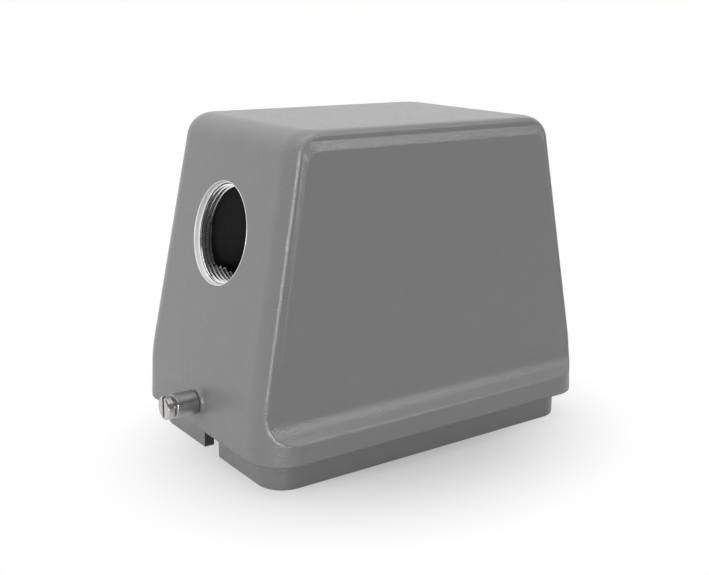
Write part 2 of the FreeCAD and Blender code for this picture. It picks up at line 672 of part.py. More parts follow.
def make_earth_plate(end):
    """Return one earth plate with its wire block, in an insert on the XZ plane."""
    near, far = plate_reach(end)
    half = INSERT_WIDTH / 2
    wire = rounded_outline(2 * abs(far), INSERT_WIDTH, PLATE_CORNER_RADIUS, FLANGE_TOP)
    sheet = Part.Face(wire).extrude(vec(0, 0, PLATE_THICKNESS))
    plate = sheet.common(box((near, far), (-half, half), (FLANGE_TOP, SEAT_HEIGHT)))
    middle = (near + far) / 2
    block = EARTH_BLOCK / 2
    top = SEAT_HEIGHT + EARTH_BLOCK_HEIGHT
    wire_block = box((middle - block, middle + block), (-block, block), (SEAT_HEIGHT, top))
    holes = [rod(EARTH_WIRE_RADIUS, vec(near - end * PAST, 0, SEAT_HEIGHT + EARTH_BLOCK_HEIGHT / 2),
                 vec(far + end * PAST, 0, SEAT_HEIGHT + EARTH_BLOCK_HEIGHT / 2)),
             rod(EARTH_SCREW_RADIUS + THREAD_CLEARANCE, vec(middle, 0, top - EARTH_GRIP),
                 vec(middle, 0, top + PAST))]
    for side in (-1, 1):
        place = vec(end * FIXING_SPACING_X / 2, side * FIXING_SPACING_Y / 2, SEAT_HEIGHT)
        holes.append(rod(FIXING_RADIUS + FIXING_HOLE_CLEARANCE, place - vec(0, 0, PAST),
                         place + vec(0, 0, PAST)))
    return plate.fuse(wire_block).cut(holes)


def make_earth_screw(end):
    """Return the screw of one earth plate's wire block."""
    near, far = plate_reach(end)
    seat = vec((near + far) / 2, 0, SEAT_HEIGHT + EARTH_BLOCK_HEIGHT)
    up = vec(0, 0, 1)
    screw = rod(EARTH_SCREW_RADIUS, seat - up * EARTH_GRIP, seat)
    screw = screw.fuse(rod(EARTH_HEAD_RADIUS, seat, seat + up * EARTH_HEAD_LENGTH))
    slot = FIXING_SLOT_WIDTH / 2
    crown = seat.z + EARTH_HEAD_LENGTH
    return screw.cut(box((seat.x - slot, seat.x + slot), (-EARTH_HEAD_RADIUS, EARTH_HEAD_RADIUS),
                         (crown - FIXING_SLOT_DEPTH, crown + PAST)))


def make_fixing_screw():
    """Return one captive fixing screw, on the Z axis with its slotted head below the flange."""
    seat = vec(0, 0, FLANGE_BOTTOM)
    up = vec(0, 0, 1)
    screw = rod(FIXING_RADIUS, seat, vec(0, 0, SEAT_HEIGHT + FIXING_REACH))
    screw = screw.fuse(rod(FIXING_HEAD_RADIUS, seat - up * FIXING_HEAD_LENGTH, seat))
    slot = FIXING_SLOT_WIDTH / 2
    low = FLANGE_BOTTOM - FIXING_HEAD_LENGTH
    return screw.cut(box((-FIXING_HEAD_RADIUS, FIXING_HEAD_RADIUS), (-slot, slot),
                         (low - PAST, low + FIXING_SLOT_DEPTH)))


def moved(shape, row):
    """Return a copy of an insert's shape, moved from the XZ plane to its row."""
    copy = shape.copy()
    copy.translate(vec(0, row * INSERT_PITCH / 2, 0))
    return copy


def save(name, shape):
    """Write one node as a STEP file."""
    os.makedirs("parts", exist_ok=True)
    shape.exportStep("parts/" + name + ".step")


def main():
    """Build every piece and write it."""
    save("hood_shell", make_hood())
    peg = make_peg()
    roller = make_roller()
    save("left_locking_peg", peg)
    save("left_peg_roller", roller)
    save("right_locking_peg", mirrored(peg, vec(1, 0, 0)))
    save("right_peg_roller", mirrored(roller, vec(1, 0, 0)))
    insert = make_insert()
    for name, row in (("front", FRONT), ("rear", REAR)):
        save(name + "_insert_body", moved(insert, row))
        for place, side in (("outer", row), ("inner", -row)):
            save(name + "_" + place + "_contacts", in_row(make_contact(side), row, side))
        screws = []
        for side in (-1, 1):
            screws += in_row(make_terminal_screw(side), row, side).Solids
        save(name + "_terminal_screws", Part.makeCompound(screws))
        for hand, end in (("left", LEFT), ("right", RIGHT)):
            save(name + "_" + hand + "_earth_plate", moved(make_earth_plate(end), row))
        earth_screws = Part.makeCompound([make_earth_screw(LEFT), make_earth_screw(RIGHT)])
        save(name + "_earth_screws", moved(earth_screws, row))
        fixings = []
        for x, y in fixing_places():
            if y * row > 0:
                screw = make_fixing_screw()
                screw.translate(vec(x, y, 0))
                fixings.append(screw)
        save(name + "_fixing_screws", Part.makeCompound(fixings))


main()
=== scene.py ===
"""Looks of a heavy duty rectangular connector hood: its paint, metals and plastics, floor and light.

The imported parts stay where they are. Pieces whose finish needs more form than the parts have are
made here, in metres and in the same frame: X runs along the hood with the cable entry at the -X
end, Z is up, and the hood stands on the floor at Z = 0.
"""

import logging
import math
from contextlib import contextmanager
from dataclasses import dataclass, field
from enum import Enum
from typing import Callable, Iterator, Sequence

import bmesh
import bpy
from mathutils import Matrix, Vector


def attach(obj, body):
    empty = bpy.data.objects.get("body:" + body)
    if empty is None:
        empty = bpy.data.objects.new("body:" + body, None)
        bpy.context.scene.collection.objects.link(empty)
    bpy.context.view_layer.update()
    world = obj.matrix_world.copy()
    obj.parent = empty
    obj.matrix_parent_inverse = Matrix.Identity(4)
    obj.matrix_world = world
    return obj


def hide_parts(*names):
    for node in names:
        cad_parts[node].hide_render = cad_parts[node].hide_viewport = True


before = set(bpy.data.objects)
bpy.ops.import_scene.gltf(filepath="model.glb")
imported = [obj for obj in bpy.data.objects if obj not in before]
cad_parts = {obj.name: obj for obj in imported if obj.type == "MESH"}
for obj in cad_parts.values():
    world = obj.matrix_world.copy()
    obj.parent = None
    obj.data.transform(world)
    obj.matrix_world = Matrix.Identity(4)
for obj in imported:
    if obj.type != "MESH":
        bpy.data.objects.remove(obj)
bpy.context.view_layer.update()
MM = 0.001
LOG = logging.getLogger("connector")

# What may be fed to a node's input.
Value = bpy.types.NodeSocket | float | Sequence[float]

# The sockets of the Mix node when it mixes colours.
MIX_FACTOR = 0
MIX_FIRST = 6
MIX_SECOND = 7
MIX_RESULT = 2

# Noise keeps mostly between these two values.
NOISE_LOW = 0.3
NOISE_HIGH = 0.7

DARKER_SHADE = 0.6
ROUNDING_SAMPLES = 6

# How close points are that count as one, on a new piece and on a copied part.
DOUBLED = 0.001 * MM
DOUBLED_IN_PART = 0.002 * MM
ALIGNED = 0.01 * MM

# Angles between two faces, in degrees: to merge them, and to round their edge.
FLAT_ANGLE = 0.6
SHARP_ANGLE = 32.0
EDGE_STEPS = 2
NORMAL_WEIGHT = 50


class Body(Enum):
    """The parts that move as one."""

    HOOD = "hood"
    LEFT_ROLLER = "left_roller"
    RIGHT_ROLLER = "right_roller"


class Slot(Enum):
    """The record's finishes."""

    CASTING = "hood_casting"
    PEG = "peg_steel"
    ROLLER = "roller_steel"
    PLASTIC = "insert_plastic"
    CONTACT = "contact_metal"
    SCREW = "screw_steel"
    PLATE = "plate_steel"


class End(Enum):
    """The two ends of the hood, with the direction in which each one looks along X."""

    LEFT = -1
    RIGHT = 1

    @property
    def word(self) -> str:
        """The end's name, as the nodes spell it."""
        return self.name.lower()


class Row(Enum):
    """The two contact inserts, which lie side by side."""

    FRONT = "front"
    REAR = "rear"


class Graph:
    """A node tree under construction.

    Args:
        tree: The tree of a material or of the world.
    """

    def __init__(self, tree: bpy.types.NodeTree) -> None:
        self.tree = tree

    def feed(self, target: bpy.types.NodeSocket, value: Value) -> None:
        """Join an input to an output, or set it to a constant."""
        if isinstance(value, bpy.types.NodeSocket):
            self.tree.links.new(value, target)
        else:
            target.default_value = value

    def node(self, kind: str, values: dict[str | int, Value] | None = None,
             **settings: object) -> bpy.types.Node:
        """Add a node.

        Args:
            kind: The node's class name.
            values: What its inputs are fed, by their names or numbers.
            settings: Properties to set on the node.

        Returns:
            The new node.
        """
        made = self.tree.nodes.new(kind)
        for key, setting in settings.items():
            setattr(made, key, setting)
        for key, value in (values or {}).items():
            self.feed(made.inputs[key], value)
        return made

    def math(self, operation: str, first: Value, second: Value = 0.0) -> bpy.types.NodeSocket:
        """Work out a number from one or two others."""
        return self.node("ShaderNodeMath", {0: first, 1: second}, operation=operation).outputs[0]

    def span(self, value: Value, start: float, end: float, low: float = 0.0, high: float = 1.0,
             smooth: bool = False) -> bpy.types.NodeSocket:
        """Turn one range into another, and hold the value at its ends.

        Args:
            value: The value to turn.
            start: Where the first range starts.
            end: Where the first range ends.
            low: The result at the start.
            high: The result at the end.
            smooth: Whether it eases in and out.

        Returns:
            The value in the new range.
        """
        values = {"Value": value, "From Min": start, "From Max": end, "To Min": low, "To Max": high}
        ease = "SMOOTHSTEP" if smooth else "LINEAR"
        return self.node("ShaderNodeMapRange", values, interpolation_type=ease).outputs["Result"]

    def blend(self, share: Value, first: Value, second: Value) -> bpy.types.NodeSocket:
        """Mix two shaders, with the given share of the second."""
        return self.node("ShaderNodeMixShader", {0: share, 1: first, 2: second}).outputs[0]


class Shader(Graph):
    """A node material under construction.

    Args:
        name: The material's name.
        colour: The surface's base colour, linear red, green and blue.
        metallic: 1 for a metal, 0 for anything else.
        roughness: The base roughness.
    """

    def __init__(self, name: str, colour: Sequence[float], metallic: float, roughness: float) -> None:
        self.material = bpy.data.materials.new(name)
        self.material.use_nodes = True
        super().__init__(self.material.node_tree)
        self.surface = self.tree.nodes["Principled BSDF"]
        self.surface.inputs["Base Color"].default_value = (*colour, 1)
        self.surface.inputs["Metallic"].default_value = metallic
        self.surface.inputs["Roughness"].default_value = roughness
        self.colour = colour
        self.place = self.node("ShaderNodeTexCoord").outputs["Object"]

    def vector(self, *parts: Value) -> bpy.types.NodeSocket:
        """Join three values, sockets or numbers, into coordinates."""
        return self.node("ShaderNodeCombineXYZ", dict(enumerate(parts))).outputs["Vector"]

    def grain(self, size: float, detail: float = 2.0, place: bpy.types.NodeSocket | None = None,
              stretch: Sequence[float] = (1, 1, 1)) -> bpy.types.NodeSocket:
        """Add noise of a real size.

        Args:
            size: The distance between specks, in metres.
            detail: How many finer layers the noise has.
            place: The coordinates, or None for the piece's own.
            stretch: How much finer the noise is along each axis.

        Returns:
            A value from 0 to 1, near 0.5 on average.
        """
        scale = tuple(part / size for part in stretch)
        mapping = self.node("ShaderNodeMapping", {"Vector": place or self.place, "Scale": scale})
        values = {"Vector": mapping.outputs["Vector"], "Scale": 1.0, "Detail": detail}
        return self.node("ShaderNodeTexNoise", values).outputs["Fac"]

    def spread(self, noise: bpy.types.NodeSocket, low: float, high: float) -> bpy.types.NodeSocket:
        """Turn noise into a range from low to high."""
        return self.span(noise, NOISE_LOW, NOISE_HIGH, low, high)

    def tint(self, noise: bpy.types.NodeSocket, amount: float) -> None:
        """Vary the base colour.

        Args:
            noise: Noise near 0.5.
            amount: How much of a darker shade shows where the noise is high.
        """
        dark = tuple(part * DARKER_SHADE for part in self.colour)
        values = {MIX_FACTOR: self.spread(noise, 0.0, amount), MIX_FIRST: (*self.colour, 1),
                  MIX_SECOND: (*dark, 1)}
        mix = self.node("ShaderNodeMix", values, data_type="RGBA")
        self.feed(self.surface.inputs["Base Color"], mix.outputs[MIX_RESULT])

    def rough(self, noise: bpy.types.NodeSocket, low: float, high: float) -> None:
        """Vary the roughness between two values."""
        self.feed(self.surface.inputs["Roughness"], self.spread(noise, low, high))

    def relief(self, layers: Sequence[tuple[bpy.types.NodeSocket, float]], strength: Value = 1.0,
               rounding: float = 0.0) -> None:
        """Roughen the surface with bumps.

        Args:
            layers: Pairs of a height from 0 to 1 and its depth in metres, coarse layers first.
            strength: How much of the relief shows at each place.
            rounding: How far the coat rounds the edges under the relief, in metres.
        """
        under = {}
        if rounding:
            film = self.node("ShaderNodeBevel", {"Radius": rounding}, samples=ROUNDING_SAMPLES)
            under = {"Normal": film.outputs["Normal"]}
        for height, depth in layers:
            values = {"Strength": strength, "Distance": depth, "Height": height, **under}
            under = {"Normal": self.node("ShaderNodeBump", values).outputs["Normal"]}
        self.feed(self.surface.inputs["Normal"], under["Normal"])


@dataclass(frozen=True)
class Finish:
    """What a surface is made of.

    Args:
        name: The material's name.
        colour: Linear red, green and blue.
        roughness: The base roughness.
    """

    name: str
    colour: tuple[float, float, float]
    roughness: float

    def make(self) -> bpy.types.Material:
        """Build the node material."""
        raise NotImplementedError


@dataclass(frozen=True)
class PowderCoat(Finish):
    """Semi-gloss powder coat, with the peel and fine grain of a baked film.

    Args:
        peel_size: The distance between the film's waves.
        peel_depth: The waves' depth.
        grain_size: The distance between the specks on them.
        grain_depth: The specks' depth.
        film_rounding: How far the film rounds the edges under it.
        mottle_size: The distance between darker patches.
        mottle: How much darker they are.
        gloss_size: The distance between duller patches.
        gloss_range: How far the roughness varies either way.
        upright: How far up a face may look, from 0 to 1, and keep the whole relief.
        level: How far up it looks where the film has flowed out.
        settled: How much of the relief is left there.
    """

    peel_size: float = 1.0 * MM
    peel_depth: float = 0.08 * MM
    grain_size: float = 0.45 * MM
    grain_depth: float = 0.12 * MM
    film_rounding: float = 0.9 * MM
    mottle_size: float = 9.0 * MM
    mottle: float = 0.10
    gloss_size: float = 2.2 * MM
    gloss_range: float = 0.03
    upright: float = 0.5
    level: float = 0.95
    settled: float = 0.12

    def make(self) -> bpy.types.Material:
        """Build the paint."""
        paint = Shader(self.name, self.colour, 0.0, self.roughness)
        paint.tint(paint.grain(self.mottle_size, detail=3.0), self.mottle)
        paint.rough(paint.grain(self.gloss_size), self.roughness - self.gloss_range,
                    self.roughness + self.gloss_range)
        paint.relief([(paint.grain(self.peel_size, detail=1.0), self.peel_depth),
                      (paint.grain(self.grain_size, detail=1.0), self.grain_depth)],
                     self.relief_left(paint), self.film_rounding)
        return paint.material

    def relief_left(self, paint: Shader) -> bpy.types.NodeSocket:
        """Return the relief's strength: the film flows out smoother where it lies level."""
        normal = paint.node("ShaderNodeNewGeometry").outputs["Normal"]
        facing = paint.node("ShaderNodeSeparateXYZ", {0: normal})
        return paint.span(facing.outputs["Z"], self.upright, self.level, 1.0, self.settled, smooth=True)


@dataclass(frozen=True)
class ShadedRawCasting(Finish):
    """Unpainted die casting inside the hood, with a pebbly skin and flow marks; its near-black colour
    is painted shade.
    """

    mottle_size: float = 6.0 * MM
    mottle: float = 0.5
    gloss_size: float = 1.5 * MM
    gloss_range: float = 0.1
    flow_size: float = 2.5 * MM
    flow_depth: float = 0.02 * MM
    pebble_size: float = 0.5 * MM
    pebble_depth: float = 0.012 * MM

    def make(self) -> bpy.types.Material:
        """Build the casting's skin."""
        skin = Shader(self.name, self.colour, 0.0, self.roughness)
        skin.tint(skin.grain(self.mottle_size, detail=5.0), self.mottle)
        skin.rough(skin.grain(self.gloss_size, detail=3.0), self.roughness - self.gloss_range,
                   self.roughness + self.gloss_range)
        skin.relief([(skin.grain(self.flow_size, detail=3.0), self.flow_depth),
                     (skin.grain(self.pebble_size, detail=2.0), self.pebble_depth)])
        return skin.material


@dataclass(frozen=True)
class TurnedMetal(Finish):
    """Metal with the fine rings that a lathe leaves round one axis.

    Args:
        centre: A point on the axis, in metres.
        axis: The axis's direction.
        ring_size: The distance between rings.
        ring_depth: The rings' depth.
        stretch: How far the rings draw a reflection out along the axis, from 0 to 1.
        chatter_size: The distance between the marks that the tool's chatter leaves, or 0 for none.
        chatter_depth: The marks' depth.
        bareness: How far it shines like a mirror, from 0 to 1. A rough cut scatters the rest.
        stain_size: The distance between darker patches.
        stain: How much darker they are.
        smoother: How far the roughness falls at the best places.
        duller: How far it rises at the worst.
    """

    centre: tuple[float, float, float] = (0.0, 0.0, 0.0)
    axis: tuple[float, float, float] = (1.0, 0.0, 0.0)
    ring_size: float = 0.2 * MM
    ring_depth: float = 0.0006 * MM
    stretch: float = 0.0
    chatter_size: float = 0.0
    chatter_depth: float = 0.0
    bareness: float = 1.0
    stain_size: float = 1.8 * MM
    stain: float = 0.10
    smoother: float = 0.04
    duller: float = 0.06

    def make(self) -> bpy.types.Material:
        """Build the metal."""
        metal = Shader(self.name, self.colour, self.bareness, self.roughness)
        along, radius, turn = self.polar(metal)
        rings = metal.grain(self.ring_size, place=metal.vector(along, radius, 0.0))
        metal.tint(metal.grain(self.stain_size), self.stain)
        metal.rough(rings, self.roughness - self.smoother, self.roughness + self.duller)
        layers = [(rings, self.ring_depth)]
        if self.chatter_size:
            lines = metal.grain(self.chatter_size, detail=1.0, place=metal.vector(turn, 0.0, 0.0))
            layers.append((lines, self.chatter_depth))
        metal.relief(layers)
        if self.stretch:
            metal.surface.inputs["Anisotropic"].default_value = self.stretch
            tangent = metal.node("ShaderNodeTangent", direction_type="RADIAL", axis="X")
            metal.feed(metal.surface.inputs["Tangent"], tangent.outputs["Tangent"])
        return metal.material

    def polar(self, metal: Shader) -> tuple[object, object, object]:
        """Return how far a place is along the axis, from it and round it."""
        axis = Vector(self.axis).normalized()
        side = axis.orthogonal().normalized()
        other = axis.cross(side)
        moved = metal.node("ShaderNodeVectorMath", {0: metal.place, 1: self.centre},
                           operation="SUBTRACT").outputs["Vector"]
        along, first, second = (
            metal.node("ShaderNodeVectorMath", {0: moved, 1: direction},
                       operation="DOT_PRODUCT").outputs["Value"]
            for direction in (axis, side, other))
        square = metal.math("ADD", metal.math("MULTIPLY", first, first),
                            metal.math("MULTIPLY", second, second))
        radius = metal.math("SQRT", square)
        turn = metal.math("MULTIPLY", metal.math("ARCTAN2", first, second), radius)
        return along, radius, turn


@dataclass(frozen=True)
class RolledMetal(Finish):
    """Plated sheet or block metal, with faint drawn lines along one axis.

    Args:
        stretch: How much finer the lines are along each axis.
        line_size: The distance between lines.
        line_depth: The lines' depth.
        stain_size: The distance between darker patches.
        stain: How much darker they are.
        smoother: How far the roughness falls at the best places.
        duller: How far it rises at the worst.
    """

    stretch: tuple[float, float, float] = (0.08, 1.0, 1.0)
    line_size: float = 0.14 * MM
    line_depth: float = 0.0012 * MM
    stain_size: float = 2.6 * MM
    stain: float = 0.16
    smoother: float = 0.05
    duller: float = 0.09

    def make(self) -> bpy.types.Material:
        """Build the metal."""
        metal = Shader(self.name, self.colour, 1.0, self.roughness)
        lines = metal.grain(self.line_size, stretch=self.stretch)
        metal.tint(metal.grain(self.stain_size, detail=3.0), self.stain)
        metal.rough(lines, self.roughness - self.smoother, self.roughness + self.duller)
        metal.relief([(lines, self.line_depth)])
        return metal.material


@dataclass(frozen=True)
class MouldedPlastic(Finish):
    """Glass filled moulding: faintly mottled, with a spark eroded skin."""

    skin_size: float = 0.25 * MM
    skin_depth: float = 0.004 * MM
    wave_size: float = 2.4 * MM
    wave_depth: float = 0.004 * MM
    mottle_size: float = 3.5 * MM
    mottle: float = 0.14
    gloss_size: float = 1.1 * MM
    gloss_range: float = 0.06

    def make(self) -> bpy.types.Material:
        """Build the plastic."""
        plastic = Shader(self.name, self.colour, 0.0, self.roughness)
        plastic.tint(plastic.grain(self.mottle_size, detail=4.0), self.mottle)
        plastic.rough(plastic.grain(self.gloss_size), self.roughness - self.gloss_range,
                      self.roughness + self.gloss_range)
        plastic.relief([(plastic.grain(self.wave_size, detail=1.0), self.wave_depth),
                        (plastic.grain(self.skin_size, detail=1.0), self.skin_depth)])
        return plastic.material


class Bench:
    """The moves of modelling by hand: add a primitive, pick places on it, and shape it."""

    @staticmethod
    def clear() -> None:
        """Leave edit mode and deselect everything."""
        if bpy.context.object and bpy.context.object.mode != "OBJECT":
            bpy.ops.object.mode_set(mode="OBJECT")
        bpy.ops.object.select_all(action="DESELECT")

    @staticmethod
    def take(name: str) -> bpy.types.Object:
        """Name the primitive that was just added."""
        piece = bpy.context.object
        piece.name = name
        piece.data.name = name
        return piece

    @staticmethod
    def hold(piece: bpy.types.Object) -> None:
        """Make a piece the only one selected."""
        Bench.clear()
        piece.select_set(True)
        bpy.context.view_layer.objects.active = piece

    @staticmethod
    @contextmanager
    def editing(piece: bpy.types.Object, kind: str = "FACE") -> Iterator[None]:
        """Open a piece in edit mode with nothing selected."""
        Bench.hold(piece)
        bpy.ops.object.mode_set(mode="EDIT")
        bpy.ops.mesh.select_mode(type=kind)
        bpy.ops.mesh.select_all(action="DESELECT")
        yield
        bpy.ops.object.mode_set(mode="OBJECT")

    @staticmethod
    def pick(kind: str, test: Callable[[object], bool]) -> None:
        """Select places on the open piece by a test."""
        form = bmesh.from_edit_mesh(bpy.context.object.data)
        found = [element for element in getattr(form, kind) if test(element)]
        bpy.ops.mesh.select_all(action="DESELECT")
        for element in found:
            element.select = True
        form.select_flush_mode()
        bmesh.update_edit_mesh(bpy.context.object.data)

    @staticmethod
    def modify(piece: bpy.types.Object, kind: str, **settings: object) -> None:
        """Add a modifier and apply it."""
        Bench.hold(piece)
        made = piece.modifiers.new(kind, kind)
        for key, value in settings.items():
            setattr(made, key, value)
        bpy.ops.object.modifier_apply(modifier=made.name)

    @staticmethod
    def place(piece: bpy.types.Object, matrix: Matrix) -> None:
        """Put a piece made at the origin in its place, with its object left at the origin."""
        Bench.hold(piece)
        piece.matrix_world = matrix
        bpy.ops.object.transform_apply(location=True, rotation=True, scale=True)

    @staticmethod
    def smooth(piece: bpy.types.Object, degrees: float) -> None:
        """Shade a piece smooth, apart from edges sharper than an angle."""
        Bench.hold(piece)
        bpy.ops.object.shade_smooth_by_angle(angle=math.radians(degrees))

    @staticmethod
    def smooth_edges(piece: bpy.types.Object, degrees: float) -> None:
        """Shade the rounded edges smooth, and keep the large faces between them flat."""
        Bench.smooth(piece, degrees)
        Bench.modify(piece, "WEIGHTED_NORMAL", keep_sharp=True, weight=NORMAL_WEIGHT)

    @staticmethod
    def outward(piece: bpy.types.Object) -> None:
        """Merge doubled points and turn every face outwards."""
        with Bench.editing(piece):
            bpy.ops.mesh.select_all(action="SELECT")
            bpy.ops.mesh.remove_doubles(threshold=DOUBLED)
            bpy.ops.mesh.normals_make_consistent(inside=False)

    @staticmethod
    def join(pieces: Sequence[bpy.types.Object], name: str) -> bpy.types.Object:
        """Join separate solids into one piece."""
        Bench.hold(pieces[0])
        for piece in pieces:
            piece.select_set(True)
        bpy.ops.object.join()
        return Bench.take(name)

    @staticmethod
    def softened(node: str, name: str, width: float, angle: float = SHARP_ANGLE) -> bpy.types.Object:
        """Copy a part and round its sharp edges.

        Args:
            node: The part to copy.
            name: The copy's name.
            width: How wide the rounding is, in metres.
            angle: The least angle of an edge that is rounded, in degrees.

        Returns:
            The new piece.
        """
        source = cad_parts[node]
        piece = bpy.data.objects.new(name, source.data.copy())
        bpy.context.scene.collection.objects.link(piece)
        piece.data.name = name
        piece.data.materials.clear()
        with Bench.editing(piece):
            bpy.ops.mesh.select_all(action="SELECT")
            bpy.ops.mesh.remove_doubles(threshold=DOUBLED_IN_PART)
            bpy.ops.mesh.dissolve_limited(angle_limit=math.radians(FLAT_ANGLE))
            bpy.ops.mesh.customdata_custom_splitnormals_clear()
        Bench.modify(piece, "BEVEL", width=width, segments=EDGE_STEPS, limit_method="ANGLE",
                     angle_limit=math.radians(angle), use_clamp_overlap=True, harden_normals=False)
        Bench.smooth_edges(piece, angle)
        return piece


class Wardrobe:
    """Every material, made once."""

    made: dict[str, bpy.types.Material] = {}

    @classmethod
    def material(cls, finish: Finish) -> bpy.types.Material:
        """Return a finish's material, and build it on first use."""
        if finish.name not in cls.made:
            cls.made[finish.name] = finish.make()
        return cls.made[finish.name]


def finish_piece(piece: bpy.types.Object, finish: Finish, body: Body,
                 stands_for: Sequence[str] = ()) -> None:
    """Dress a new piece and tie it to the body that carries it.

    Args:
        piece: The piece, in place.
        finish: Its finish.
        body: The body it moves with.
        stands_for: The parts that it replaces.
    """
    piece.data.materials.clear()
    piece.data.materials.append(Wardrobe.material(finish))
    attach(piece, body.value)
    if stands_for:
        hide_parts(*stands_for)
    LOG.info("%s: %d faces, rides on %s", piece.name, len(piece.data.polygons), body.value)


AXIS_HEIGHT = 19.1 * MM
ENTRY_MOUTH = (-56.68176 * MM, 0.0, 72.9 * MM)
ENTRY_OUTWARD = (-0.98219, 0.0, 0.18790)
SIDE_SLOPE = 0.0447
PAINT = PowderCoat("grey_powder_coat", (0.2, 0.2, 0.2), 0.31)
# The inside's near-black colour is painted shade, as dark as the shade in the closed hood.
SHADED_RAW_CASTING = ShadedRawCasting("raw_casting_painted_shade", (0.035, 0.035, 0.037), 0.8)
BARE = TurnedMetal("bare_entry_metal", (0.90, 0.90, 0.90), 0.22, ENTRY_MOUTH, ENTRY_OUTWARD,
                   chatter_size=0.5 * MM, chatter_depth=0.004 * MM)
FACED = TurnedMetal("faced_entry_metal", (0.95, 0.95, 0.95), 0.4, ENTRY_MOUTH, ENTRY_OUTWARD,
                    ring_depth=0.0003 * MM, chatter_size=0.5 * MM, chatter_depth=0.02 * MM,
                    bareness=0.35)
PLASTIC = MouldedPlastic("insert_moulding", (0.42, 0.41, 0.39), 0.5)
SILVER = RolledMetal("silver_plate", (0.83, 0.81, 0.76), 0.24, (1, 1, 0.08))
ZINC = RolledMetal("zinc_plate", (0.66, 0.68, 0.70), 0.30)
SCREW = RolledMetal("screw_zinc", (0.62, 0.64, 0.66), 0.28, (0.08, 1, 1))
PEG = TurnedMetal("peg_steel", (0.54, 0.53, 0.52), 0.26, (0, 0, AXIS_HEIGHT),
                  ring_depth=0.0002 * MM)
ROLLER = TurnedMetal("roller_steel", (0.38, 0.38, 0.38), 0.3, (0, 0, AXIS_HEIGHT),
                     ring_size=1.2 * MM, ring_depth=0.0, stretch=0.5)


@dataclass
class HoodCasting:
    """The painted casting, with the small roundings that a mould and the paint give its edges."""

    edge: float = 0.3 * MM
    # The outer outline, which tells the powder-coated outside from the bare inside, coloured near black
    # as painted shade.
    half_width: float = 38.6 * MM
    collar_half: float = 61.2 * MM
    foot_half: float = 65.5 * MM
    shoulder: float = 10.2 * MM
    corner: float = 9.0 * MM
    end_slope: float = 0.1913
    kink: float = 26.4 * MM
    roof: float = 104.5 * MM
    skin: float = 1.3 * MM
    # The lower rim is painted: its height, and how far down its faces look.
    rim_height: float = 0.7 * MM
    rim_look: float = -0.1

    def build(self) -> None:
        """Make the casting."""
        piece = Bench.softened("hood_shell", "hood_casting", self.edge)
        finish_piece(piece, PAINT, Body.HOOD, ["hood_shell"])
        # Faces inside the outline get the near-black casting: painted shade for the hood's dark inside,
        # also on the notches' side faces.
        piece.data.materials.append(Wardrobe.material(SHADED_RAW_CASTING))
        for face in piece.data.polygons:
            face.material_index = int(self.is_inside(face.center, face.normal))

    def is_inside(self, place: Vector, normal: Vector) -> bool:
        """Tell whether a face belongs to the unpainted inside, which is coloured near black as painted
        shade.

        Args:
            place: The face's middle.
            normal: The way that it looks.

        Returns:
            True if it lies well within the casting's outer outline, and isn't the lower rim.
        """
        if place.z < self.rim_height and normal.z < self.rim_look:
            return False
        rise = max(place.z - self.kink, 0.0)
        across = self.half_width - max(place.z - self.shoulder, 0.0) * SIDE_SLOPE - self.corner
        along = self.collar_half if place.z < self.shoulder else self.foot_half - rise * self.end_slope
        along -= self.corner
        over = abs(place.x) - along, abs(place.y) - across
        reach = math.hypot(max(over[0], 0.0), max(over[1], 0.0)) + min(max(over), 0.0)
        return reach < self.corner - self.skin and place.z < self.roof


